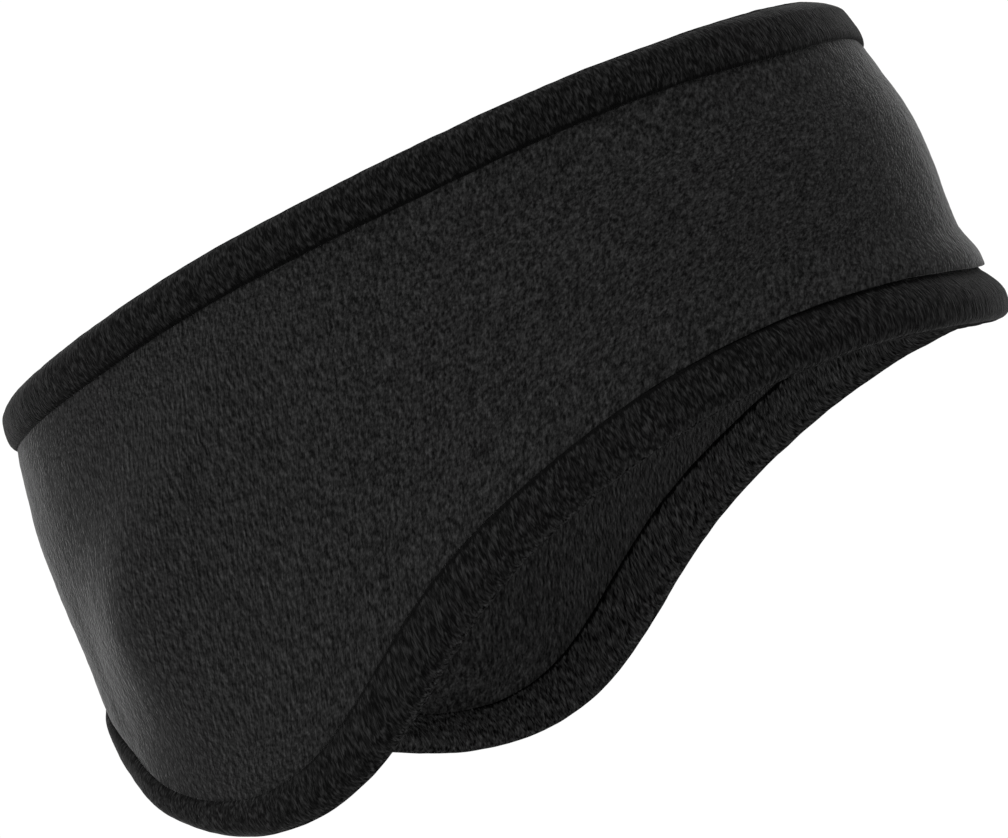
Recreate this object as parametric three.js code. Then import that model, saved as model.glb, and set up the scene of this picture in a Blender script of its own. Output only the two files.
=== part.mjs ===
/**
 * Ear warmer headband: a closed loop of fleece, cut deeper over both ears, with a folded fleece binding
 * round its top edge and another round its bottom edge.
 *
 * Millimetres, +Z up. The forehead faces -Y and the wearer's right ear is on the -X side. The origin is
 * where the band sits on a head: in the middle of the loop, at the place where it is widest.
 */
import * as THREE from 'three'

// The loop seen from above, measured to the middle of the cloth
const loopWidth = 156 // from ear to ear
const frontReach = 103.6 // from the widest place to the forehead
const backReach = 84.4 // from the widest place to the back of the head
const frontFullness = 0.027 // how much fuller than an ellipse the loop is in front
const backFullness = 0.007 // the same behind

// The band seen from the side
const topRise = 45.3 // the top edge above the origin, where it is highest
const flapDrop = 63 // the bottom edge below the origin, at the lowest place of an ear flap
const backLean = 5.2 // how far the top edge leans in at the back of the head
const bellyOut = 4.8 // how far the middle of the cloth bellies out between its edges at the back

// The cloth
const bodyCloth = 2.6 // the fleece of the band
const seamSwell = 1.4 // how far its pile stands proud beside a binding
const swellReach = 10 // how far from the binding that swelling fades out
const foldRise = 1.2 // height of the soft fold at the back of each ear flap

// The bindings
const clearance = 0.3 // between the band and a binding
const topDepth = 9.3 // how far the top binding reaches down the outside
const bottomDepth = 11 // how far the bottom binding reaches up the outside, where it is deepest
const insideExtra = 1 // how much further a binding reaches on the inside
const rollHalf = 4.2 // half the thickness of the roll at the edge
const rollRound = 3.4 // height of the roll's rounded end
const foldCloth = 2.4 // cloth between the roll's end and the edge of the band

// How fine the solids are
const stationCount = 96 // round the loop
const middleRows = 3 // across the open fleece
const roundSteps = 3 // on a quarter of the roll's end

/**
 * How the band runs, in even steps from the middle of the forehead to the middle of the back. The other
 * side is the mirror image. Each column guides a smooth curve that passes near its rows: top is a share
 * of topRise, bottom of flapDrop, lean of backLean, belly of bellyOut, and depth of bottomDepth.
 */
const BAND = [
  { top: 0.951, bottom: 0.479, lean: 0.48, belly: 0.94, depth: 1.01 }, // middle of the forehead
  { top: 0.954, bottom: 0.433, lean: 0.41, belly: 0.84, depth: 1 },
  { top: 0.977, bottom: 0.393, lean: 0.18, belly: 0.47, depth: 0.96 },
  { top: 1, bottom: 0.408, lean: -0.01, belly: 0.18, depth: 0.98 },
  { top: 0.994, bottom: 0.492, lean: -0.04, belly: 0, depth: 0.91 },
  { top: 0.996, bottom: 0.654, lean: 0.1, belly: 0, depth: 1.04 }, // in front of the ear
  { top: 0.985, bottom: 0.989, lean: 0.42, belly: 0.14, depth: 1.01 },
  { top: 0.937, bottom: 1.027, lean: 0.71, belly: 0.36, depth: 0.73 }, // lowest place of the flap
  { top: 0.914, bottom: 0.783, lean: 0.84, belly: 0.69, depth: 0.64 },
  { top: 0.917, bottom: 0.472, lean: 0.95, belly: 1, depth: 0.76 },
  { top: 0.916, bottom: 0.392, lean: 1, belly: 0.96, depth: 0.79 }, // middle of the back
]

/**
 * Soft folds and hollows of the cloth. level is a share of flapDrop below the origin, across a share of
 * the half loop, tall a share of flapDrop, and proud a share of foldRise.
 */
const FOLDS = [
  { round: 0.772, level: 0.62, across: 0.036, tall: 0.5, proud: 1.0 },
  { round: 0.7, level: 0.5, across: 0.045, tall: 0.4, proud: -0.4 },
]

/** The pile beside a binding: past is a share of swellReach, proud a share of seamSwell. */
const SWELL = [
  { past: 0.04, proud: 0.0 },
  { past: 0.12, proud: 0.9 },
  { past: 0.25, proud: 1.0 },
  { past: 0.55, proud: 0.45 },
  { past: 1.0, proud: 0.0 },
]

/** A leg of a binding from the roll (along 0) to its seam (along 1): proud is a share of the roll's cloth. */
const LEG = [
  { along: 0.45, proud: 0.86 },
  { along: 0.84, proud: 0.6 },
  { along: 0.97, proud: 0.38 },
  { along: 1.0, proud: 0.0 },
]

/** The loop in plan, as an oval that is a little fuller than an ellipse and longer in front. */
class HeadLoop extends THREE.Curve {
  constructor() {
    super()
    this.arcLengthDivisions = 720
  }

  getPoint(t, target = new THREE.Vector3()) {
    const turn = 2 * Math.PI * t
    const ahead = Math.cos(turn)
    const fullness = (frontFullness + backFullness) / 2 + ((frontFullness - backFullness) / 2) * ahead
    const sideways = (Math.sin(turn) + fullness * Math.sin(3 * turn)) / (1 - fullness)
    const lengthways = (ahead - fullness * Math.cos(3 * turn)) / (1 - fullness)
    const forward = ((frontReach + backReach) / 2) * lengthways + ((frontReach - backReach) / 2) * ahead ** 2
    return target.set((-loopWidth / 2) * sideways, -forward, 0)
  }

  getTangent(t, target = new THREE.Vector3()) {
    const step = 1e-4
    return target.copy(this.getPoint(t + step)).sub(this.getPoint(t - step)).normalize()
  }
}

const loop = new HeadLoop()
const girth = loop.getLength()

/** Place round the loop, 0 at the middle of the forehead and 1 at the middle of the back. */
function roundAt(along) {
  const turn = THREE.MathUtils.euclideanModulo(along / girth, 1)
  return 1 - Math.abs(1 - 2 * turn)
}

/** Value of a column of BAND at a place round the loop, on an even cubic B-spline. */
function readBand(column, round) {
  const last = BAND.length - 1
  const start = Math.min(Math.floor(round * last), last - 1)
  const t = round * last - start
  const weights = [(1 - t) ** 3, 3 * t ** 3 - 6 * t ** 2 + 4, -3 * t ** 3 + 3 * t ** 2 + 3 * t + 1, t ** 3]
  return weights.reduce((sum, weight, i) => {
    const row = last - Math.abs(last - Math.abs(start - 1 + i))
    return sum + (weight / 6) * BAND[row][column]
  }, 0)
}

/** How far the folds push the cloth out at a place. */
function foldOut(round, z) {
  let out = 0
  for (const fold of FOLDS) {
    const sideways = (round - fold.round) / fold.across
    const upright = (z + fold.level * flapDrop) / (fold.tall * flapDrop)
    out += foldRise * fold.proud * Math.exp(-(sideways ** 2) - upright ** 2)
  }
  return out
}

/**
 * The two edges of the band on the flat cloth, where x runs round the loop and y is the height. inward
 * is the way from the edge into the cloth, and depth how far the binding reaches on the outside.
 */
const topEdge = {
  inward: -1,
  height: (along) => topRise * readBand('top', roundAt(along)),
  depth: () => topDepth,
}
const bottomEdge = {
  inward: 1,
  height: (along) => -flapDrop * readBand('bottom', roundAt(along)),
  depth: (along) => bottomDepth * readBand('depth', roundAt(along)),
}

/** How far the cloth bellies out between its two edges at a place on the flat cloth. */
function bellyAt(place) {
  const low = bottomEdge.height(place.x)
  const share = (place.y - low) / (topEdge.height(place.x) - low)
  return bellyOut * readBand('belly', roundAt(place.x)) * 4 * share * (1 - share)
}

/** A point of the worn cloth, from its place on the flat cloth and its distance out from mid-cloth. */
function wornPoint(place, out) {
  const turn = THREE.MathUtils.euclideanModulo(place.x / girth, 1)
  const round = roundAt(place.x)
  const point = loop.getPointAt(turn)
  const tangent = loop.getTangentAt(turn)
  const lean = (backLean / topRise) * readBand('lean', round)
  const stand = out - lean * place.y + bellyAt(place) + foldOut(round, place.y)
  return new THREE.Vector3(point.x - tangent.y * stand, point.y + tangent.x * stand, place.y)
}

/** The place on the flat cloth that lies square in from an edge by a distance. */
function squareIn(edge, along, distance) {
  const step = 0.5
  const slope = (edge.height(along + step) - edge.height(along - step)) / (2 * step)
  const scale = (edge.inward * distance) / Math.hypot(1, slope)
  return new THREE.Vector2(along - slope * scale, edge.height(along) + scale)
}

/** Height of the band's own edge below the roll's end. */
const edgeInset = foldCloth + clearance

/** The rows of the band's outside between an edge and the place where the swelling ends. */
function hemRows(edge, along) {
  const rows = [{ place: squareIn(edge, along, edgeInset), swell: 0 }]
  for (const { past, proud } of SWELL) {
    const distance = edge.depth(along) + past * swellReach
    rows.push({ place: squareIn(edge, along, distance), swell: proud * seamSwell })
  }
  return rows
}

/** The same on the inside, which is plain. */
function insideRows(edge, along) {
  const distances = [edgeInset, edge.depth(along) + insideExtra, edge.depth(along) + swellReach]
  return distances.map((distance) => ({ place: squareIn(edge, along, distance), swell: 0 }))
}

/** Rows from one edge to the other, with the open middle filled in evenly. */
function acrossBand(fromBottom, fromTop) {
  const rows = [...fromBottom]
  const low = fromBottom.at(-1).place
  const high = fromTop.at(-1).place
  for (let i = 1; i <= middleRows; i += 1) {
    rows.push({ place: low.clone().lerp(high, i / (middleRows + 1)), swell: 0 })
  }
  return [...rows, ...fromTop.toReversed()]
}

/** Section of the band at a station: up the outside and down the inside. */
function bodySection(along) {
  const outside = acrossBand(hemRows(bottomEdge, along), hemRows(topEdge, along))
  const inside = acrossBand(insideRows(bottomEdge, along), insideRows(topEdge, along))
  return [
    ...outside.map(({ place, swell }) => wornPoint(place, bodyCloth / 2 + swell)),
    ...inside.toReversed().map(({ place }) => wornPoint(place, -bodyCloth / 2)),
  ]
}

/** Section of a binding at a station: a folded strip, as [distance in from the edge, distance out]. */
function bindingProfile(outsideDepth) {
  const grip = bodyCloth / 2 + clearance
  const half = (depth) => {
    const leg = LEG.map(({ along, proud }) => [
      rollRound + along * (depth - rollRound),
      grip + proud * (rollHalf - grip),
    ])
    const end = Array.from({ length: roundSteps }, (_, i) => {
      const turn = (i / roundSteps) * (Math.PI / 2)
      return [rollRound * (1 - Math.sin(turn)), rollHalf * Math.cos(turn)]
    })
    return [...leg.toReversed(), ...end]
  }
  const outer = half(outsideDepth)
  const inner = half(outsideDepth + insideExtra).map(([distance, out]) => [distance, -out])
  return [[foldCloth, grip], ...outer, [0, 0], ...inner.toReversed(), [foldCloth, -grip]]
}

/** Section of one edge's binding, in place. */
function bindingSection(edge, along) {
  const section = bindingProfile(edge.depth(along)).map(([distance, out]) =>
    wornPoint(squareIn(edge, along, distance), out),
  )
  return edge.inward > 0 ? section.toReversed() : section
}

/** A closed ring through equal sections at stations round the loop, each cell cut on its shorter diagonal. */
function ringGeometry(sectionAt) {
  const sections = Array.from({ length: stationCount }, (_, i) => sectionAt((i / stationCount) * girth))
  const points = sections.flat()
  const count = sections[0].length
  const index = (i, j) => (i % stationCount) * count + (j % count)
  const apart = (a, b) => points[a].distanceTo(points[b])
  const faces = []
  for (let i = 0; i < stationCount; i += 1) {
    for (let j = 0; j < count; j += 1) {
      const [a, b, c, d] = [index(i, j), index(i, j + 1), index(i + 1, j + 1), index(i + 1, j)]
      if (apart(a, c) < apart(b, d)) faces.push(a, b, c, a, c, d)
      else faces.push(a, b, d, b, c, d)
    }
  }
  const geometry = new THREE.BufferGeometry().setFromPoints(points)
  geometry.setIndex(faces)
  geometry.computeVertexNormals()
  return geometry
}

const fleece = new THREE.MeshStandardMaterial({ color: 0x262626, roughness: 0.95, metalness: 0 })
const bindingFleece = new THREE.MeshStandardMaterial({ color: 0x1a1a1a, roughness: 0.9, metalness: 0 })

/** One named piece of the headband. */
function piece(name, geometry, material) {
  const mesh = new THREE.Mesh(geometry, material)
  mesh.name = name
  return mesh
}

const headband = new THREE.Group()
headband.add(piece('band_body', ringGeometry(bodySection), fleece))
headband.add(piece('top_binding', ringGeometry((along) => bindingSection(topEdge, along)), bindingFleece))
headband.add(piece('bottom_binding', ringGeometry((along) => bindingSection(bottomEdge, along)), bindingFleece))

export default headband
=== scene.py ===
"""Looks of the ear warmer headband: a fleece band and the folded binding round each of its edges.

Metres, +Z up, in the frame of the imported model. The forehead faces -Y and the wearer's right ear is at -X.
"""

import math

import bpy
import numpy as np
from bpy.props import FloatProperty, FloatVectorProperty, PointerProperty
from bpy.types import Operator, Panel, PropertyGroup
from mathutils import Matrix, Vector


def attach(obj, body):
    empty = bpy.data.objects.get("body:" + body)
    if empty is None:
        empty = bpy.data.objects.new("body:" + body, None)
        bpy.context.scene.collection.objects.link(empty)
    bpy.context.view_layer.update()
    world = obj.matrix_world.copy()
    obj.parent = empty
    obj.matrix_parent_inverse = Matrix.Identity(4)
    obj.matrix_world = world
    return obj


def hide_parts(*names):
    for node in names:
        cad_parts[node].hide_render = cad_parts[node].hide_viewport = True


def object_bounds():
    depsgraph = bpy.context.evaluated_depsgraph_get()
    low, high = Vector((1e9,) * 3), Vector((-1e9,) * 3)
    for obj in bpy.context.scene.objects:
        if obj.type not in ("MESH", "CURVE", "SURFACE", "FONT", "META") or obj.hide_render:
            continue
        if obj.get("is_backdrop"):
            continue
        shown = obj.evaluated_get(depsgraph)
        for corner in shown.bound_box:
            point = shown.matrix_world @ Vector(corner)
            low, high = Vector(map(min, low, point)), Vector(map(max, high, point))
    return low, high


bl_info = {
    "name": "Ear warmer headband",
    "version": (1, 0, 0),
    "blender": (4, 5, 0),
    "location": "3D View > Sidebar > Headband",
    "description": "A fleece ear warmer headband with a folded binding round its top and bottom edges",
    "category": "Add Mesh",
}

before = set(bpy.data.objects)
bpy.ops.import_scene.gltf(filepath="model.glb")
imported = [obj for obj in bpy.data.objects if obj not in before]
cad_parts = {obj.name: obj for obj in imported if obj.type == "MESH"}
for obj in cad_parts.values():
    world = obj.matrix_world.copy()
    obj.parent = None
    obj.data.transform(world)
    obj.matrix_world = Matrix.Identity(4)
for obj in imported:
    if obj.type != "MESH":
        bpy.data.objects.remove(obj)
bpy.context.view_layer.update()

# How the band runs, in even steps from the middle of the forehead to the middle of the back. Top, bottom,
# lean and belly are shares of the top rise, the flap drop, the back lean and the belly. The depths are
# shares of each binding's depth, and the rolls of the roll's half thickness, on the outside. Swell and the
# crease shade are shares of the seam swell and of the width of the painted shade in the crease at the
# bottom edge. A smooth curve passes near the rows.
BAND = np.array(
    [
        (0.971, 0.479, 0.48, 0.94, 1.05, 0.97, 0.8, 1.3, 1.4, 1.18),
        (0.971, 0.433, 0.41, 0.84, 1.265, 0.97, 0.87, 1.26, 1.3, 1.18),
        (0.977, 0.393, 0.18, 0.47, 1.01, 0.96, 0.95, 1.1, 0.9, 1.18),
        (1.0, 0.408, -0.01, 0.18, 1.04, 0.98, 0.97, 1.0, 0.5, 1.18),
        (0.994, 0.492, -0.04, 0.0, 1.035, 0.91, 0.97, 1.0, 0.4, 1.18),
        (0.996, 0.654, 0.1, 0.0, 1.02, 1.04, 0.97, 1.0, 0.35, 1.1),
        (0.985, 0.989, 0.42, 0.14, 1.0, 1.01, 0.97, 1.0, 0.3, 1.0),
        (0.937, 1.027, 0.71, 0.36, 1.0, 0.73, 1.0, 1.0, 0.3, 0.55),
        (0.914, 0.797, 0.84, 0.69, 1.0, 0.57, 1.0, 1.0, 0.3, 0.1),
        (0.917, 0.478, 0.95, 1.0, 1.0, 0.7, 1.0, 0.85, 0.3, 0.3),
        (0.916, 0.392, 1.0, 0.96, 1.0, 0.79, 1.0, 1.0, 0.3, 0.5),
    ],
    dtype=[
        ("top", float),
        ("bottom", float),
        ("lean", float),
        ("belly", float),
        ("top_depth", float),
        ("bottom_depth", float),
        ("top_roll", float),
        ("bottom_roll", float),
        ("swell", float),
        ("crease", float),
    ],
)

# Soft folds and hollows: round, slant, curl, before and behind are shares of the half loop, level and tall
# of the flap's drop, and proud of the fold's rise. Before and behind say how far it reaches on either side.
# A small blunt makes a crease and a large one a gentle swelling.
FOLDS = np.array(
    [
        (0.7187, -0.1128, -0.2593, 0.124, 0.0211, 0.0211, 0.4064, 4.13, 4.12),
        (0.8203, 0.02, 0.0, 0.37, 0.0758, 0.0286, 0.712, 1.0, -1.59),
        (0.81, 0.0, 0.0, 0.73, 0.05, 0.05, 0.22, 0.8, 1.57),
        (0.0, 0.0, 0.0, -0.28, 0.3, 0.3, 0.16, 0.5, 0.9),
        (0.0, 0.0, 0.0, 0.1, 0.3, 0.3, 0.14, 0.5, -0.75),
        (0.9, 0.0, 0.0, -0.35, 0.2, 0.2, 0.3, 0.5, 0.8),
        (0.89, 0.0, 0.0, 0.4, 0.04, 0.04, 0.14, 1.0, 0.4),
    ],
    dtype=[
        ("round", float),
        ("slant", float),
        ("curl", float),
        ("level", float),
        ("before", float),
        ("behind", float),
        ("tall", float),
        ("blunt", float),
        ("proud", float),
    ],
)

# A binding's outline from its seam to the roll at the edge: along is a share of the leg from the roll to
# the seam, and proud a share of the way that the roll stands out.
LEG = np.array(
    [
        (1.0, 0.0),
        (0.985, 0.12),
        (0.95, 0.23),
        (0.9, 0.35),
        (0.84, 0.47),
        (0.72, 0.65),
        (0.55, 0.8),
        (0.36, 0.91),
        (0.16, 0.98),
    ],
    dtype=[("along", float), ("proud", float)],
)

# The lip of the pile that hangs over a seam, as shares of the swelling there.
LIP = np.array(
    [
        (0.6, 0.0),
        (0.6, 0.15),
        (0.5, 0.35),
        (0.3, 0.55),
        (0.08, 0.7),
        (-0.08, 0.8),
        (-0.1, 0.9),
        (0.0, 0.97),
        (0.25, 1.0),
    ],
    dtype=[("inward", float), ("proud", float)],
)

# The face of a binding that lies against the band, from the seam inside, round the band's edge, to the seam
# outside: shares of the way from the fold to the seam, and the side, 1 for the outside.
LINING = ((0.75, -1), (0.4, -1), (0.0, -1), (0.0, 1), (0.4, 1), (0.75, 1))

# Rows of the band's outer and inner face: those under a binding, as shares of its depth, the distance of the
# first one past a seam's lip, how many there are in the swelling, and how many in the middle of the face.
OUTER_ROWS = {"hidden": (0.0, 0.4, 0.8, 0.97), "first": 0.0012, "swelling": 10, "middle": 62}
INNER_ROWS = {"hidden": (0.0, 0.5), "first": 0.0018, "swelling": 5, "middle": 26}

# The swelling of the pile begins to fade this far from a seam.
SWELL_TOP = 0.0015

# How finely the pieces are made and measured.
LOOP_STEPS = 720
BAND_STATIONS = 600
BINDING_STATIONS = 720
ROLL_ANGLES = np.radians(np.arange(0, 90, 15))
FOLD_STEPS = 3
EDGE_SAMPLES = 2000
MERGE_DISTANCE = 1e-7

# The share of a fold's rows that has the outside's looks.
OUTSIDE_SHARE = 0.43

# Where the shaded side of a fleck or stroke lies from its lit side, as shares of its own size, for the
# painted light and shade of their relief.
NAP_MOVE = (0.25, 0.25, 0.12)
STROKE_MOVE = (0.0, 0.0, 0.35)

# How much the height of a fleck or stroke counts for its tone, beside the side that it is lit from: partly
# the pile's own uneven tone, partly painted shade in its hollows.
NAP_HEIGHT = 0.7
STROKE_HEIGHT = 1.0

# The noise of the flecks and strokes.
PATTERN_DETAIL = 2.0
PATTERN_ROUGHNESS = 0.6
STROKE_BEND = 0.3

# The lightest tone that a fleece can show, as a multiple of its colour.
LIGHTEST_TONE = 4.0

# The two painted shades beside a seam, in place of the shadow in its crease: where each begins to fade,
# where it ends, and its share of the darkening. The strokes make their edges ragged, by this distance from
# their darkest to their lightest.
PAINTED_SEAM_SHADES = ((0.0, 0.0035, 0.2), (0.0006, 0.0011, 0.8))
RAGGED = 0.0015

# The contrast of the strokes inside a binding, as a share of that outside.
CONTRAST_INSIDE = 0.65

# The places of a mixing node's two colours among its sockets, which share their names with others.
DARK_END = 6
LIGHT_END = 7

WHITE = (1.0, 1.0, 1.0, 1.0)
BLACK = (0.0, 0.0, 0.0, 1.0)

# Fine points of the stage. The surroundings brighten above the horizon height, a share of straight up.
SENSOR_WIDTH = 36.0
VIEW_END = 50.0
FLOOR_SIDES = 96
FLOOR_RADIUS = 3.4
FLOOR_ROUGHNESS = 0.9
HORIZON_HEIGHT = 0.1


def length(name, description, default):
    """A size that a user may change."""
    return FloatProperty(
        name=name, description=description, default=default, min=0.0, precision=5, unit="LENGTH"
    )


def share(name, description, default, most=1.0):
    """A bare number that a user may change."""
    return FloatProperty(name=name, description=description, default=default, min=0.0, max=most)


def angle(name, description, degrees):
    """An angle that a user may change."""
    return FloatProperty(name=name, description=description, default=math.radians(degrees), subtype="ANGLE")


def colour(name, description, default):
    """A colour that a user may change."""
    return FloatVectorProperty(
        name=name, description=description, default=default, size=3, min=0.0, max=1.0, subtype="COLOR"
    )


class HeadbandSizes(PropertyGroup):
    """The sizes of the worn band."""

    loop_width: length("Loop width", "From ear to ear, to the middle of the cloth", 0.156)
    front_reach: length("Front reach", "From the widest place to the forehead", 0.1036)
    back_reach: length("Back reach", "From the widest place to the back of the head", 0.0844)
    front_fullness: share("Front fullness", "How much fuller than an ellipse the loop is in front", 0.027)
    back_fullness: share("Back fullness", "How much fuller than an ellipse the loop is behind", 0.007)
    top_rise: length("Top rise", "The top edge above the widest place, where it is highest", 0.0453)
    flap_drop: length("Flap drop", "The bottom edge below the widest place, where it is lowest", 0.063)
    back_lean: length("Back lean", "How far the top edge leans in at the back", 0.0052)
    belly_out: length("Belly", "How far the cloth bellies out between its edges at the back", 0.0048)
    fold_rise: length("Fold rise", "Height that the soft folds are shares of", 0.0012)
    cloth: length("Fleece", "Thickness of the fleece of the band", 0.0026)
    seam_swell: length("Seam swell", "Height that the swellings beside the seams are shares of", 0.0014)
    least_swell: share("Least swell", "What is left of the swell along the top, as a share", 0.3)
    swell_reach: length("Swell reach", "How far from a binding the swelling fades out", 0.01)
    rumple: length("Rumple", "Height of the slow unevenness of the cloth", 0.0006)
    rumple_breadth: length("Rumple breadth", "Breadth of the slow unevenness of the cloth", 0.022)
    tufts: length("Tufts", "Height of the tufts of the pile", 0.0003)
    tuft_breadth: length("Tuft breadth", "Breadth of a tuft of the pile", 0.003)


class BindingSizes(PropertyGroup):
    """The sizes of the folded bindings."""

    top_depth: length("Top depth", "Down the outside to the seam, where its share is 1", 0.0093)
    bottom_depth: length("Bottom depth", "Up the outside to the seam, where its share is 1", 0.011)
    inside_extra: length("Inside extra", "How much further a binding reaches on the inside", 0.001)
    roll_half: length("Roll", "Half the thickness of the roll at the edge", 0.0042)
    roll_round: length("Roll round", "Height of the roll's rounded end", 0.0034)
    # How far the painted shade in a seam's crease narrows, where its share in BAND is 0.
    crease: length("Crease", "Width that a seam's dark crease loses, where its share is 0", 0.0011)
    fold_cloth: length("Fold cloth", "Cloth between the roll's end and the edge of the band", 0.0024)
    clearance: length("Clearance", "Between the band and a binding", 0.0003)
    droop: length("Droop", "How far a roll of twice the fullness would hang past the edge", 0.005)
    waver: length("Waver", "Height of the unevenness of the folded strip", 0.0004)
    waver_breadth: length("Waver breadth", "Breadth of the unevenness of the folded strip", 0.006)


class FleeceLook(PropertyGroup):
    """The finish of the two fleeces."""

    body_colour: colour("Band", "Colour of the band's fleece", (0.0101, 0.0101, 0.0101))
    binding_colour: colour("Binding", "Colour of the binding's fleece", (0.0045, 0.0045, 0.0045))
    nap_width: length("Nap width", "Width of a fleck of the band's nap", 0.00085)
    nap_stretch: share("Nap stretch", "Length of a fleck over its width", 1.3, 10.0)
    nap_tilt: angle("Nap tilt", "How far the nap leans from upright towards the forehead", 20)
    stroke_width: length("Stroke width", "Width of a brushed stroke of the binding", 0.0005)
    stroke_stretch: share("Stroke stretch", "Length of a stroke over its width", 4.5, 20.0)
    nap_contrast: share("Nap contrast", "How much the flecks of the nap differ in tone", 2.0, 10.0)
    stroke_contrast: share("Stroke contrast", "How much the brushed strokes differ in tone", 3.1, 10.0)
    # Painted light: the inside of the band and of each binding's fold are made lighter in colour, in place
    # of the light that reaches them there.
    painted_light_within: share("Lighter within", "How much lighter the inside of the band is", 0.12, 4.0)
    painted_light_fold: share("Lighter fold", "How much lighter a binding is inside, without sheen", 1.55, 4.0)
    relief: length("Relief", "Height of the flecks and strokes", 0.0003)
    roughness: share("Roughness", "How matt the pile is", 0.95)
    gloss: share("Gloss", "How strongly the pile mirrors light", 0.1)
    bend: share("Bend", "How strongly the fibres bend light", 1.4, 4.0)
    body_sheen: share("Band's sheen", "Light caught by the band's pile at a glancing angle", 0.37)
    binding_sheen: share("Binding's sheen", "Light caught by the binding's pile at a glancing angle", 0.085)
    sheen_spread: share("Sheen spread", "How far round the sheen reaches from a glancing angle", 0.24)
    # Painted shade: the binding's colour is darkened beside its seam, in place of the shadow in the crease.
    painted_seam_shade: share("Seam shade", "How much darker the binding is where it is sewn down", 0.9)


class StageSettings(PropertyGroup):
    """The camera, the floor and the light."""

    azimuth: angle("Azimuth", "The camera's turn round the band", -72.692)
    elevation: angle("Elevation", "The camera's height", -4.086)
    roll: angle("Roll", "The camera's tilt about its own axis", 25.165)
    distance: length("Distance", "From the camera to the middle of the view", 1.2207)
    aim: FloatVectorProperty(
        name="Aim",
        description="The middle of the view, right and up from the widest place",
        default=(0.007035, -0.003801),
        size=2,
        unit="LENGTH",
    )
    focal_length: FloatProperty(
        name="Focal length", description="Of the lens, in millimetres", default=213.46
    )
    floor_drop: length("Floor", "The floor below the lowest point of the band", 0.24)
    floor_colour: colour("Floor colour", "Pale floor", (0.74, 0.74, 0.74))
    horizon: share("Horizon light", "Brightness of the white surroundings", 1.03, 10.0)
    overhead: share("Overhead light", "Brightness straight above", 1.3, 10.0)
    window_way: FloatVectorProperty(
        name="Window",
        description="Where the soft window lies, seen from the band: right, up and towards the camera",
        default=(-0.75, 0.55, 0.36),
        size=3,
    )
    window_size: length("Window size", "Width and height of the soft window", 1.6)
    window_reach: length("Window reach", "From the window to the band", 2.0)
    window_power: FloatProperty(
        name="Window power", description="Of the soft window", default=20.0, unit="POWER"
    )


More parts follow.
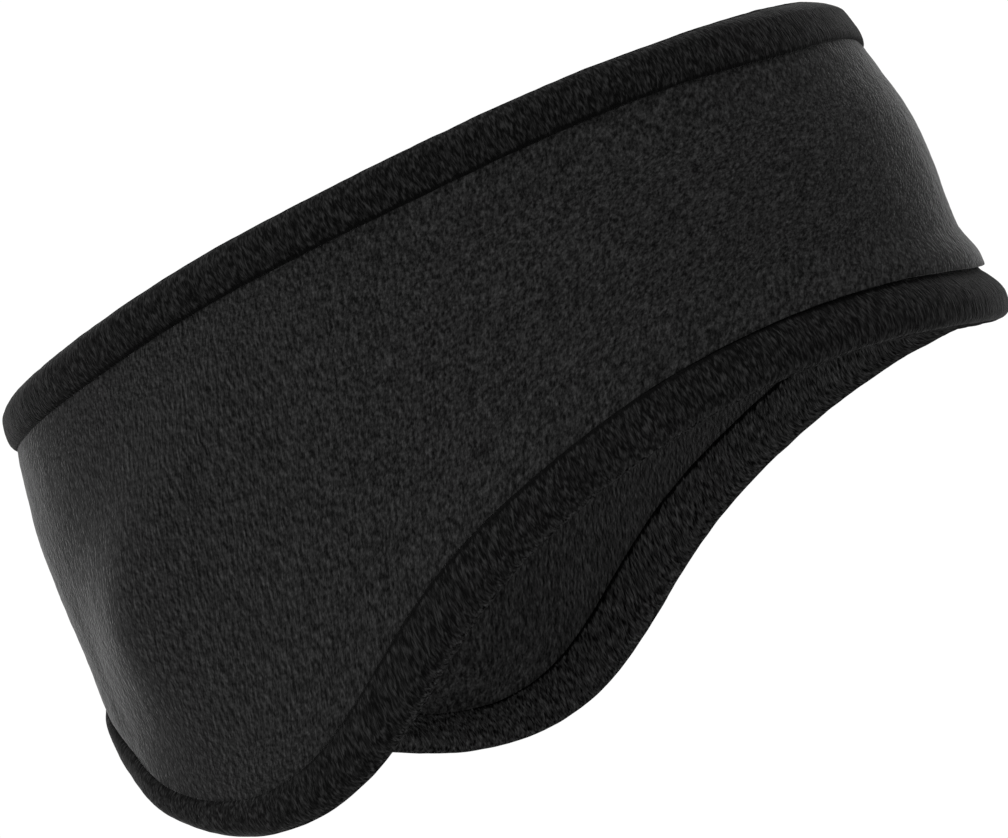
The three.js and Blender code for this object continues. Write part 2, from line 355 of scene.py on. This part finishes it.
class WornBand:
    """Where the cloth lies when the band is worn, from places on the flat cloth, (along, height)."""

    def __init__(self, size, binding):
        self.size = size
        self.binding = binding
        self.turns = np.linspace(0.0, 1.0, LOOP_STEPS + 1)
        steps = np.linalg.norm(np.diff(self.plan(self.turns), axis=0), axis=1)
        self.lengths = np.concatenate([[0.0], np.cumsum(steps)])
        self.girth = self.lengths[-1]

    def plan(self, turn):
        """The loop seen from above."""
        size = self.size
        way = 2 * np.pi * turn
        ahead = np.cos(way)
        mean = (size.front_fullness + size.back_fullness) / 2
        fullness = mean + (size.front_fullness - size.back_fullness) / 2 * ahead
        sideways = (np.sin(way) + fullness * np.sin(3 * way)) / (1 - fullness)
        lengthways = (ahead - fullness * np.cos(3 * way)) / (1 - fullness)
        forward = (size.front_reach + size.back_reach) / 2 * lengthways
        forward = forward + (size.front_reach - size.back_reach) / 2 * ahead**2
        return np.stack([-size.loop_width / 2 * sideways, -forward], axis=-1)

    def round_at(self, along):
        """Place round the loop, 0 at the middle of the forehead and 1 at the middle of the back."""
        return 1 - np.abs(1 - 2 * np.mod(along / self.girth, 1))

    def read(self, column, along):
        """A column of BAND at places round the loop, on an even cubic B-spline."""
        last = len(BAND) - 1
        place = self.round_at(along) * last
        start = np.minimum(np.floor(place), last - 1).astype(int)
        t = place - start
        weights = [(1 - t) ** 3, 3 * t**3 - 6 * t**2 + 4, -3 * t**3 + 3 * t**2 + 3 * t + 1, t**3]
        rows = [last - np.abs(last - np.abs(start - 1 + i)) for i in range(4)]
        return sum(weight / 6 * BAND[column][row] for weight, row in zip(weights, rows))

    def top(self, along):
        """Height of the top edge on the flat cloth."""
        return self.size.top_rise * self.read("top", along)

    def bottom(self, along):
        """Height of the bottom edge on the flat cloth."""
        return -self.size.flap_drop * self.read("bottom", along)

    def depth(self, edge, along):
        """How far a binding reaches on the outside."""
        usual = self.binding.top_depth if edge == "top" else self.binding.bottom_depth
        return usual * self.read(f"{edge}_depth", along)

    def fullness(self, edge, along):
        """How far the roll at an edge stands out on the outside, as a share of its usual half."""
        return self.read(f"{edge}_roll", along)

    def crease(self, edge, along):
        """How wide the painted shade in the crease of a seam is, as a share of its usual width."""
        return 1 + 0 * along if edge == "top" else self.read("crease", along)

    def swell(self, edge, along):
        """How far the pile stands proud beside a binding."""
        least = self.size.least_swell
        return self.size.seam_swell * (least + 0 * along if edge == "top" else self.read("swell", along))

    def square_in(self, edge, along, distance):
        """The place on the flat cloth that lies square in from an edge by a distance."""
        height, inward = (self.top, -1) if edge == "top" else (self.bottom, 1)
        step = 0.0005
        slope = (height(along + step) - height(along - step)) / (2 * step)
        scale = inward * distance / np.hypot(1, slope)
        return np.stack([along - slope * scale, height(along) + scale], axis=-1)

    def fold(self, along, height):
        """How far the folds push the cloth out."""
        size, out = self.size, 0.0
        for fold in FOLDS:
            upright = height / size.flap_drop + fold["level"]
            line = fold["round"] + fold["slant"] * upright + fold["curl"] * upright**2
            sideways = self.round_at(along) - line
            sideways = sideways / np.where(sideways > 0, fold["behind"], fold["before"])
            crest = np.exp(fold["blunt"] - np.hypot(sideways, fold["blunt"]))
            out = out + size.fold_rise * fold["proud"] * crest * np.exp(-((upright / fold["tall"]) ** 2))
        return out

    def worn(self, place, out):
        """Points of the worn cloth, from places on the flat cloth and distances out from mid-cloth."""
        size = self.size
        along, height = place[..., 0], place[..., 1]
        turn = np.interp(np.mod(along, self.girth), self.lengths, self.turns)
        step = 1e-4
        tangent = self.plan(turn + step) - self.plan(turn - step)
        tangent /= np.linalg.norm(tangent, axis=-1, keepdims=True)
        low, high = self.bottom(along), self.top(along)
        up = (height - low) / (high - low)
        belly = size.belly_out * self.read("belly", along) * 4 * up * (1 - up)
        lean = size.back_lean / size.top_rise * self.read("lean", along) * height
        stand = out - lean + belly + self.fold(along, height)
        point = self.plan(turn)
        sideways = point[..., 0] - tangent[..., 1] * stand
        lengthways = point[..., 1] + tangent[..., 0] * stand
        return np.stack([sideways, lengthways, height], axis=-1)


def smooth_step(value, start, end):
    """0 up to start, 1 from end on, and smooth between."""
    t = np.clip((value - start) / (end - start), 0, 1)
    return t * t * (3 - 2 * t)


def band_section(band, along):
    """The band's section at each station, up the outside and down the inside."""
    size, binding = band.size, band.binding
    inset = binding.fold_cloth + binding.clearance
    grip = size.cloth / 2

    def hem(edge, rows):
        """Places and swell from under a binding to where the swelling ends. The pile hangs over the seam."""
        depth = band.depth(edge, along)
        full = band.swell(edge, along)
        distances = [inset + (depth - inset) * step for step in rows["hidden"]]
        swell = [0 * along for _ in rows["hidden"]]
        for row in LIP:
            distances.append(depth + row["inward"] * full)
            swell.append(row["proud"] * full)
        for step in np.linspace(rows["first"], size.swell_reach, rows["swelling"]):
            distances.append(depth + step)
            swell.append(full * (1 - smooth_step(step, SWELL_TOP, size.swell_reach)))
        places = np.stack([band.square_in(edge, along, distance) for distance in distances])
        return places, np.array(swell)

    def across(rows):
        """Places and swell from the bottom edge to the top edge of one face."""
        low, low_swell = hem("bottom", rows)
        high, high_swell = hem("top", rows)
        middle = rows["middle"]
        steps = (np.arange(middle) + 1)[:, None, None] / (middle + 1)
        between = low[-1] + (high[-1] - low[-1]) * steps
        places = np.concatenate([low, between, high[::-1]])
        return places, np.concatenate([low_swell, np.zeros((middle, len(along))), high_swell[::-1]])

    outside, swell = across(OUTER_ROWS)
    inside, _ = across(INNER_ROWS)
    places = np.concatenate([outside, inside[::-1]])
    out = np.concatenate([grip + swell, np.full((len(inside), len(along)), -grip)])
    within = np.repeat([0.0, 1.0], [len(outside), len(inside)])[:, None] + 0 * along
    return places, out, {"within": within}


def rounded(points, steps):
    """A smooth line through points (rows, stations, 2), with even steps along each span."""
    before = np.concatenate([points[:1], points[:-1]])
    after = np.concatenate([points[2:], points[-1:]])
    line = []
    for i in range(len(points) - 1):
        a, b, c, d = before[i], points[i], points[i + 1], after[i]
        square = 2 * a - 5 * b + 4 * c - d
        cube = 3 * b - a - 3 * c + d
        for t in np.arange(steps) / steps:
            line.append(0.5 * (2 * b + (c - a) * t + square * t**2 + cube * t**3))
    return np.stack([*line, points[-1]])


def binding_section(band, edge, along):
    """A binding's section at each station, round the outside of the fold and back through its inside."""
    size, binding = band.size, band.binding
    grip = size.cloth / 2 + binding.clearance
    roll = binding.roll_round

    def half(depth, fullness):
        """One face of the fold. Where the roll is fuller, it is squarer too, and droops past the edge."""
        square = fullness**2
        most = binding.roll_half * fullness
        droop = binding.droop * np.maximum(fullness - 1, 0)
        face = []
        for row in LEG:
            stand = grip + (most - grip) * row["proud"] ** (square * square)
            face.append((roll + (depth - roll) * row["along"], stand))
        for turn in ROLL_ANGLES:
            down, out = math.sin(turn) ** (1 / square), math.cos(turn) ** (1 / square)
            face.append((roll * (1 - down) - droop * down * out, most * out))
        return np.array(face).transpose(0, 2, 1)

    depth = band.depth(edge, along)
    outer = half(depth, band.fullness(edge, along))
    inner = half(depth + binding.inside_extra, np.ones_like(depth)) * (1, -1)
    tip = np.zeros_like(outer[:1])
    fold = rounded(np.concatenate([outer, tip, inner[::-1]]), FOLD_STEPS)
    first = binding.fold_cloth
    back = np.array([(first + (depth - first) * step, side * grip + 0 * depth) for step, side in LINING])
    outline = np.concatenate([fold, back.transpose(0, 2, 1)])
    places = np.stack([band.square_in(edge, along, row[:, 0]) for row in outline])
    outer_rows = round(OUTSIDE_SHARE * len(fold))
    within = np.repeat([0.0, 1.0], [outer_rows, len(outline) - outer_rows])[:, None] + 0 * along

    # How far each place lies from its seam, and further where the painted shade in the crease is to be
    # narrower.
    reach = np.where(outline[..., 1] < 0, depth + binding.inside_extra, depth)
    reach = reach + binding.crease * (1 - band.crease(edge, along))
    return places, outline[..., 1], {"seam": reach - outline[..., 0], "within": within}


def deselect_all():
    """Leaves editing and selects nothing, as each modelling step expects."""
    if bpy.context.object and bpy.context.object.mode != "OBJECT":
        bpy.ops.object.mode_set(mode="OBJECT")
    bpy.ops.object.select_all(action="DESELECT")


def ring_of_cloth(name, band, section, stations, tilt=0.0):
    """A closed ring of cloth, begun as a flat grid that is worn round the head and joined at the back.

    The section gives places on the flat cloth, distances out from mid-cloth and marks for the materials.
    """
    along = band.girth * (0.5 + np.arange(stations + 1) / stations)
    places, out, marks = section(along)
    points = band.worn(places, out)
    count = len(points)
    deselect_all()
    bpy.ops.mesh.primitive_grid_add(x_subdivisions=stations, y_subdivisions=count, size=1, calc_uvs=True)
    piece = bpy.context.object
    piece.name = piece.data.name = name
    flat = np.zeros(len(piece.data.vertices) * 3)
    piece.data.vertices.foreach_get("co", flat)
    flat = flat.reshape(-1, 3) + 0.5
    station = np.rint(flat[:, 0] * stations).astype(int)
    row = np.rint(flat[:, 1] * count).astype(int) % count
    piece.data.vertices.foreach_set("co", points[row, station].ravel())

    # The pattern's own coordinates: the flat cloth rolled to a cylinder, so that its ends meet at the back.
    steps = np.linalg.norm(np.diff(points, axis=0), axis=2).mean(axis=1)
    height = np.concatenate([[0.0], np.cumsum(steps)])[row]
    height = np.where(flat[:, 1] > 1 - 0.5 / count, height[row == count - 1].max() + steps[-1], height)
    turn = (places[row, station, 0] + height * math.tan(tilt)) * 2 * math.pi / band.girth
    radius = band.girth / (2 * math.pi)
    cloth = piece.data.attributes.new("cloth", "FLOAT_VECTOR", "POINT")
    rolled = np.stack([radius * np.cos(turn), radius * np.sin(turn), height], axis=-1)
    cloth.data.foreach_set("vector", rolled.ravel())
    for mark, values in marks.items():
        piece.data.attributes.new(mark, "FLOAT", "POINT").data.foreach_set("value", values[row, station])

    bpy.ops.object.mode_set(mode="EDIT")
    bpy.ops.mesh.select_all(action="SELECT")
    bpy.ops.mesh.remove_doubles(threshold=MERGE_DISTANCE)
    bpy.ops.mesh.normals_make_consistent(inside=False)
    bpy.ops.object.mode_set(mode="OBJECT")
    bpy.ops.object.shade_smooth()
    return piece


def unevenness(piece, name, breadth, height):
    """Pushes a piece in and out by a noise of a given breadth."""
    texture = bpy.data.textures.new(name, "CLOUDS")
    texture.noise_basis = "ORIGINAL_PERLIN"
    texture.noise_scale = breadth
    texture.noise_depth = 2
    modifier = piece.modifiers.new(name, "DISPLACE")
    modifier.texture = texture
    modifier.texture_coords = "LOCAL"
    modifier.strength = height
    modifier.mid_level = 0.5
    deselect_all()
    piece.select_set(True)
    bpy.context.view_layer.objects.active = piece
    bpy.ops.object.modifier_apply(modifier=name)


class Wire:
    """A socket of a shader, so that shader maths reads as an expression."""

    def __init__(self, shader, socket):
        self.shader = shader
        self.socket = socket

    def maths(self, operation, *values):
        """A node that does one sum with wires and numbers."""
        inputs = dict(enumerate(values))
        return self.shader.node("ShaderNodeMath", {"operation": operation}, inputs)["Value"]

    def __add__(self, other):
        return self.maths("ADD", self, other)

    def __sub__(self, other):
        return self.maths("SUBTRACT", self, other)

    def __mul__(self, other):
        return self.maths("MULTIPLY", self, other)

    def __rsub__(self, other):
        return self.maths("SUBTRACT", other, self)

    __radd__ = __add__
    __rmul__ = __mul__


class Shader:
    """The nodes of one material, or of the world."""

    def __init__(self, owner):
        self.owner = owner
        owner.use_nodes = True
        self.tree = owner.node_tree
        self.tree.nodes.clear()

    def node(self, kind, settings, inputs):
        """A node of a kind, with its settings and then its sockets' values or links; gives its outputs."""
        node = self.tree.nodes.new(kind)
        for name, value in settings.items():
            setattr(node, name, value)
        for name, value in inputs.items():
            if isinstance(value, Wire):
                self.tree.links.new(value.socket, node.inputs[name])
            else:
                node.inputs[name].default_value = value
        return {socket.name: Wire(self, socket) for socket in node.outputs if socket.enabled}

    def attribute(self, name, kind="Fac"):
        """A value that the mesh carries at its points."""
        return self.node("ShaderNodeAttribute", {"attribute_name": name}, {})[kind]

    def cloth(self, across, along, move=(0.0, 0.0, 0.0)):
        """The cloth's own coordinates, with a pattern this wide and this long, moved by shares of that."""
        inputs = {
            "Vector": self.attribute("cloth", "Vector"),
            "Scale": (1 / across, 1 / across, 1 / along),
            "Location": move,
        }
        return self.node("ShaderNodeMapping", {"vector_type": "POINT"}, inputs)["Vector"]

    def noise(self, place, distortion=0.0):
        """The noise that the flecks and strokes are made of, from 0 to 1."""
        inputs = {
            "Vector": place,
            "Scale": 1.0,
            "Detail": PATTERN_DETAIL,
            "Roughness": PATTERN_ROUGHNESS,
            "Distortion": distortion,
        }
        return self.node("ShaderNodeTexNoise", {}, inputs)["Fac"]

    def near(self, distance, full, none):
        """1 up to one distance, fading to 0 at another."""
        settings = {"interpolation_type": "SMOOTHSTEP"}
        inputs = {"Value": distance, "From Min": full, "From Max": none, "To Min": 1.0, "To Max": 0.0}
        return self.node("ShaderNodeMapRange", settings, inputs)["Result"]

    def finish(self, look, base_colour, tone, height, gloss, sheen):
        """Joins colour and relief to the surface. The tone is 1 where the colour is as it is given."""
        lightest = tuple(channel * LIGHTEST_TONE for channel in base_colour)
        ends = {"Factor": tone * (1 / LIGHTEST_TONE), DARK_END: BLACK, LIGHT_END: (*lightest, 1)}
        base = self.node("ShaderNodeMix", {"data_type": "RGBA"}, ends)["Result"]
        relief = {"Strength": 1.0, "Distance": look.relief, "Height": height}
        inputs = {
            "Base Color": base,
            "Roughness": look.roughness,
            "IOR": look.bend,
            "Specular IOR Level": gloss,
            "Sheen Weight": sheen,
            "Sheen Roughness": look.sheen_spread,
            "Sheen Tint": WHITE,
            "Normal": self.node("ShaderNodeBump", {}, relief)["Normal"],
        }
        surface = self.node("ShaderNodeBsdfPrincipled", {}, inputs)["BSDF"]
        self.node("ShaderNodeOutputMaterial", {}, {"Surface": surface})
        return self.owner


def painted_relief_light(pattern, beneath, flat, contrast):
    """Painted light and shade of a pattern's relief, as if lit from above, about 1 on the whole: its lit
    side less its shaded side.
    """
    level = 1 + (pattern - beneath + (pattern - 0.5) * flat) * contrast
    return level * level


def band_fleece(look):
    """Fleece with a short pebbled nap, with painted light and shade on the nap's relief and painted light on
    the inside of the band.
    """
    shader = Shader(bpy.data.materials.new("band_fleece"))
    width, long = look.nap_width, look.nap_width * look.nap_stretch
    flecks = shader.noise(shader.cloth(width, long))
    beneath = shader.noise(shader.cloth(width, long, NAP_MOVE))
    tone = painted_relief_light(flecks, beneath, NAP_HEIGHT, look.nap_contrast)
    # Painted light on the inside face of the band.
    tone = tone * (1 + shader.attribute("within") * look.painted_light_within)
    return shader.finish(look, look.body_colour, tone, flecks, look.gloss, look.body_sheen)


def binding_fleece(look, name, painted_lightening, contrast, gloss, sheen):
    """Fleece that is brushed across the strip, in fine strokes that cross a little, with painted light and
    shade on the strokes' relief and painted shade beside the seam. Its colour can be painted lighter, for
    the inside of a fold.
    """
    shader = Shader(bpy.data.materials.new(name))
    width, long = look.stroke_width, look.stroke_width * look.stroke_stretch
    strokes = shader.noise(shader.cloth(width, long), STROKE_BEND)
    beneath = shader.noise(shader.cloth(width, long, STROKE_MOVE), STROKE_BEND)
    tone = painted_relief_light(strokes, beneath, STROKE_HEIGHT, look.stroke_contrast * contrast)
    # Painted shade in the crease beside the seam, in place of its shadow: darkest at the seam, with a ragged
    # edge.
    crease = shader.attribute("seam") + (strokes - 0.5) * RAGGED
    broad, narrow = [shader.near(crease, full, none) * part for full, none, part in PAINTED_SEAM_SHADES]
    tone = tone * (1 - (broad + narrow) * look.painted_seam_shade)
    # Painted light: the colour is made lighter by a share, for the inside of a fold.
    base_colour = [channel * (1 + painted_lightening) for channel in look.binding_colour]
    return shader.finish(look, base_colour, tone, strokes, gloss, sheen)


def dress(piece, node, outside, inside=None):
    """Puts a finished piece in the place of its CAD node, with its material, or one for each face."""
    piece.data.materials.clear()
    piece.data.materials.append(outside)
    if inside:
        piece.data.materials.append(inside)
        within = np.zeros(len(piece.data.vertices))
        piece.data.attributes["within"].data.foreach_get("value", within)
        for face in piece.data.polygons:
            face.material_index = int(within[list(face.vertices)].min() > 0.5)
    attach(piece, "root")
    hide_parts(node)


class HEADBAND_OT_band(Operator):
    """Makes the fleece band, from its flat cut"""

    bl_idname = "headband.band"
    bl_label = "Fleece band"

    def execute(self, context):
        settings = context.scene.headband
        sizes, look = settings.sizes, settings.look
        band = WornBand(sizes, settings.bindings)
        piece = ring_of_cloth(
            "fleece_band", band, lambda along: band_section(band, along), BAND_STATIONS, look.nap_tilt
        )
        unevenness(piece, "rumple", sizes.rumple_breadth, sizes.rumple)
        unevenness(piece, "tufts", sizes.tuft_breadth, sizes.tufts)
        dress(piece, "band_body", band_fleece(look))
        along = np.linspace(0.0, band.girth, EDGE_SAMPLES, endpoint=False)
        inset = settings.bindings.fold_cloth + settings.bindings.clearance
        height = band.top(along) - band.bottom(along) - 2 * inset
        float(height.mean() * band.girth)
        return {"FINISHED"}


class HEADBAND_OT_bindings(Operator):
    """Makes the folded binding of each edge"""

    bl_idname = "headband.bindings"
    bl_label = "Folded bindings"

    def execute(self, context):
        settings = context.scene.headband
        look = settings.look
        band = WornBand(settings.sizes, settings.bindings)
        outside = binding_fleece(look, "binding_fleece", 0.0, 1.0, look.gloss, look.binding_sheen)
        # The inside of a fold has no sheen or gloss, and its colour is painted lighter.
        inside = binding_fleece(look, "binding_fleece_inside", look.painted_light_fold, CONTRAST_INSIDE, 0.0, 0.0)
        for edge in ("top", "bottom"):
            piece = ring_of_cloth(
                f"{edge}_edge_binding",
                band,
                lambda along, edge=edge: binding_section(band, edge, along),
                BINDING_STATIONS,
            )
            unevenness(piece, f"{edge}_waver", settings.bindings.waver_breadth, settings.bindings.waver)
            dress(piece, f"{edge}_binding", outside, inside)
            along = np.linspace(0.0, band.girth, EDGE_SAMPLES)
            line = band.worn(band.square_in(edge, along, 0.0), 0.0)
            depth = float(band.depth(edge, along).mean())
        return {"FINISHED"}


def add_camera(stage, around):
    """The camera, which looks at the band from the photo's side."""
    deselect_all()
    place = around @ Vector((stage.aim[0], stage.aim[1], stage.distance))
    turn = (around @ Matrix.Rotation(-stage.roll, 4, "Z")).to_euler()
    bpy.ops.object.camera_add(location=place, rotation=turn)
    camera = bpy.context.object
    camera.data.sensor_width = SENSOR_WIDTH
    camera.data.lens = stage.focal_length
    camera.data.clip_end = VIEW_END
    bpy.context.scene.camera = camera


def add_window(stage, around):
    """One broad soft light."""
    deselect_all()
    right = around @ Vector((1.0, 0.0, 0.0))
    forward = Vector((0.0, 0.0, 1.0)).cross(right)
    way = right * stage.window_way[0] + Vector((0, 0, stage.window_way[1])) - forward * stage.window_way[2]
    way.normalize()
    bpy.ops.object.light_add(
        type="AREA", location=way * stage.window_reach, rotation=way.to_track_quat("Z", "Y").to_euler()
    )
    window = bpy.context.object.data
    window.size = stage.window_size
    window.energy = stage.window_power


def add_floor(stage):
    """A pale floor below the band."""
    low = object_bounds()[0].z - stage.floor_drop
    bpy.ops.mesh.primitive_circle_add(
        vertices=FLOOR_SIDES, radius=FLOOR_RADIUS, fill_type="NGON", location=(0, 0, low)
    )
    floor = bpy.context.object
    floor.name = "floor"
    shader = Shader(bpy.data.materials.new("floor"))
    inputs = {
        "Base Color": (*stage.floor_colour, 1.0),
        "Roughness": FLOOR_ROUGHNESS,
        "Specular IOR Level": 0.0,
    }
    surface = shader.node("ShaderNodeBsdfPrincipled", {}, inputs)["BSDF"]
    shader.node("ShaderNodeOutputMaterial", {}, {"Surface": surface})
    floor.data.materials.append(shader.owner)
    floor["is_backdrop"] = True


def light_surroundings(stage):
    """A white world that grows brighter from the horizon up."""
    world = bpy.data.worlds.new("surroundings")
    bpy.context.scene.world = world
    shader = Shader(world)
    way = shader.node("ShaderNodeTexCoord", {}, {})["Generated"]
    height = shader.node("ShaderNodeSeparateXYZ", {}, {"Vector": way})["Z"]
    inputs = {
        "Value": height,
        "From Min": HORIZON_HEIGHT,
        "To Min": stage.horizon,
        "To Max": stage.overhead,
    }
    strength = shader.node("ShaderNodeMapRange", {}, inputs)["Result"]
    light = shader.node("ShaderNodeBackground", {}, {"Color": WHITE, "Strength": strength})["Background"]
    shader.node("ShaderNodeOutputWorld", {}, {"Surface": light})


class HEADBAND_OT_stage(Operator):
    """Makes the camera, the floor and the light"""

    bl_idname = "headband.stage"
    bl_label = "Stage"

    def execute(self, context):
        stage = context.scene.headband.stage
        turned = Matrix.Rotation(stage.azimuth, 4, "Z")
        around = turned @ Matrix.Rotation(math.pi / 2 - stage.elevation, 4, "X")
        add_camera(stage, around)
        add_window(stage, around)
        add_floor(stage)
        light_surroundings(stage)
        context.scene.view_settings.view_transform = "Standard"
        return {"FINISHED"}


class HeadbandSettings(PropertyGroup):
    """All that a user may change."""

    sizes: PointerProperty(type=HeadbandSizes)
    bindings: PointerProperty(type=BindingSizes)
    look: PointerProperty(type=FleeceLook)
    stage: PointerProperty(type=StageSettings)


class HEADBAND_PT_panel(Panel):
    """Lists the steps that make the headband"""

    bl_idname = "HEADBAND_PT_panel"
    bl_label = "Headband"
    bl_space_type = "VIEW_3D"
    bl_region_type = "UI"
    bl_category = "Headband"

    def draw(self, context):
        for step in STEPS:
            self.layout.operator(step.bl_idname)


STEPS = (HEADBAND_OT_band, HEADBAND_OT_bindings, HEADBAND_OT_stage)
CLASSES = (
    HeadbandSizes,
    BindingSizes,
    FleeceLook,
    StageSettings,
    HeadbandSettings,
    *STEPS,
    HEADBAND_PT_panel,
)


def register():
    for entry in CLASSES:
        bpy.utils.register_class(entry)
    bpy.types.Scene.headband = PointerProperty(type=HeadbandSettings)


def unregister():
    del bpy.types.Scene.headband
    for entry in reversed(CLASSES):
        bpy.utils.unregister_class(entry)


def main():
    register()
    bpy.ops.headband.band()
    bpy.ops.headband.bindings()
    bpy.ops.headband.stage()


if __name__ == "__main__":
    main()
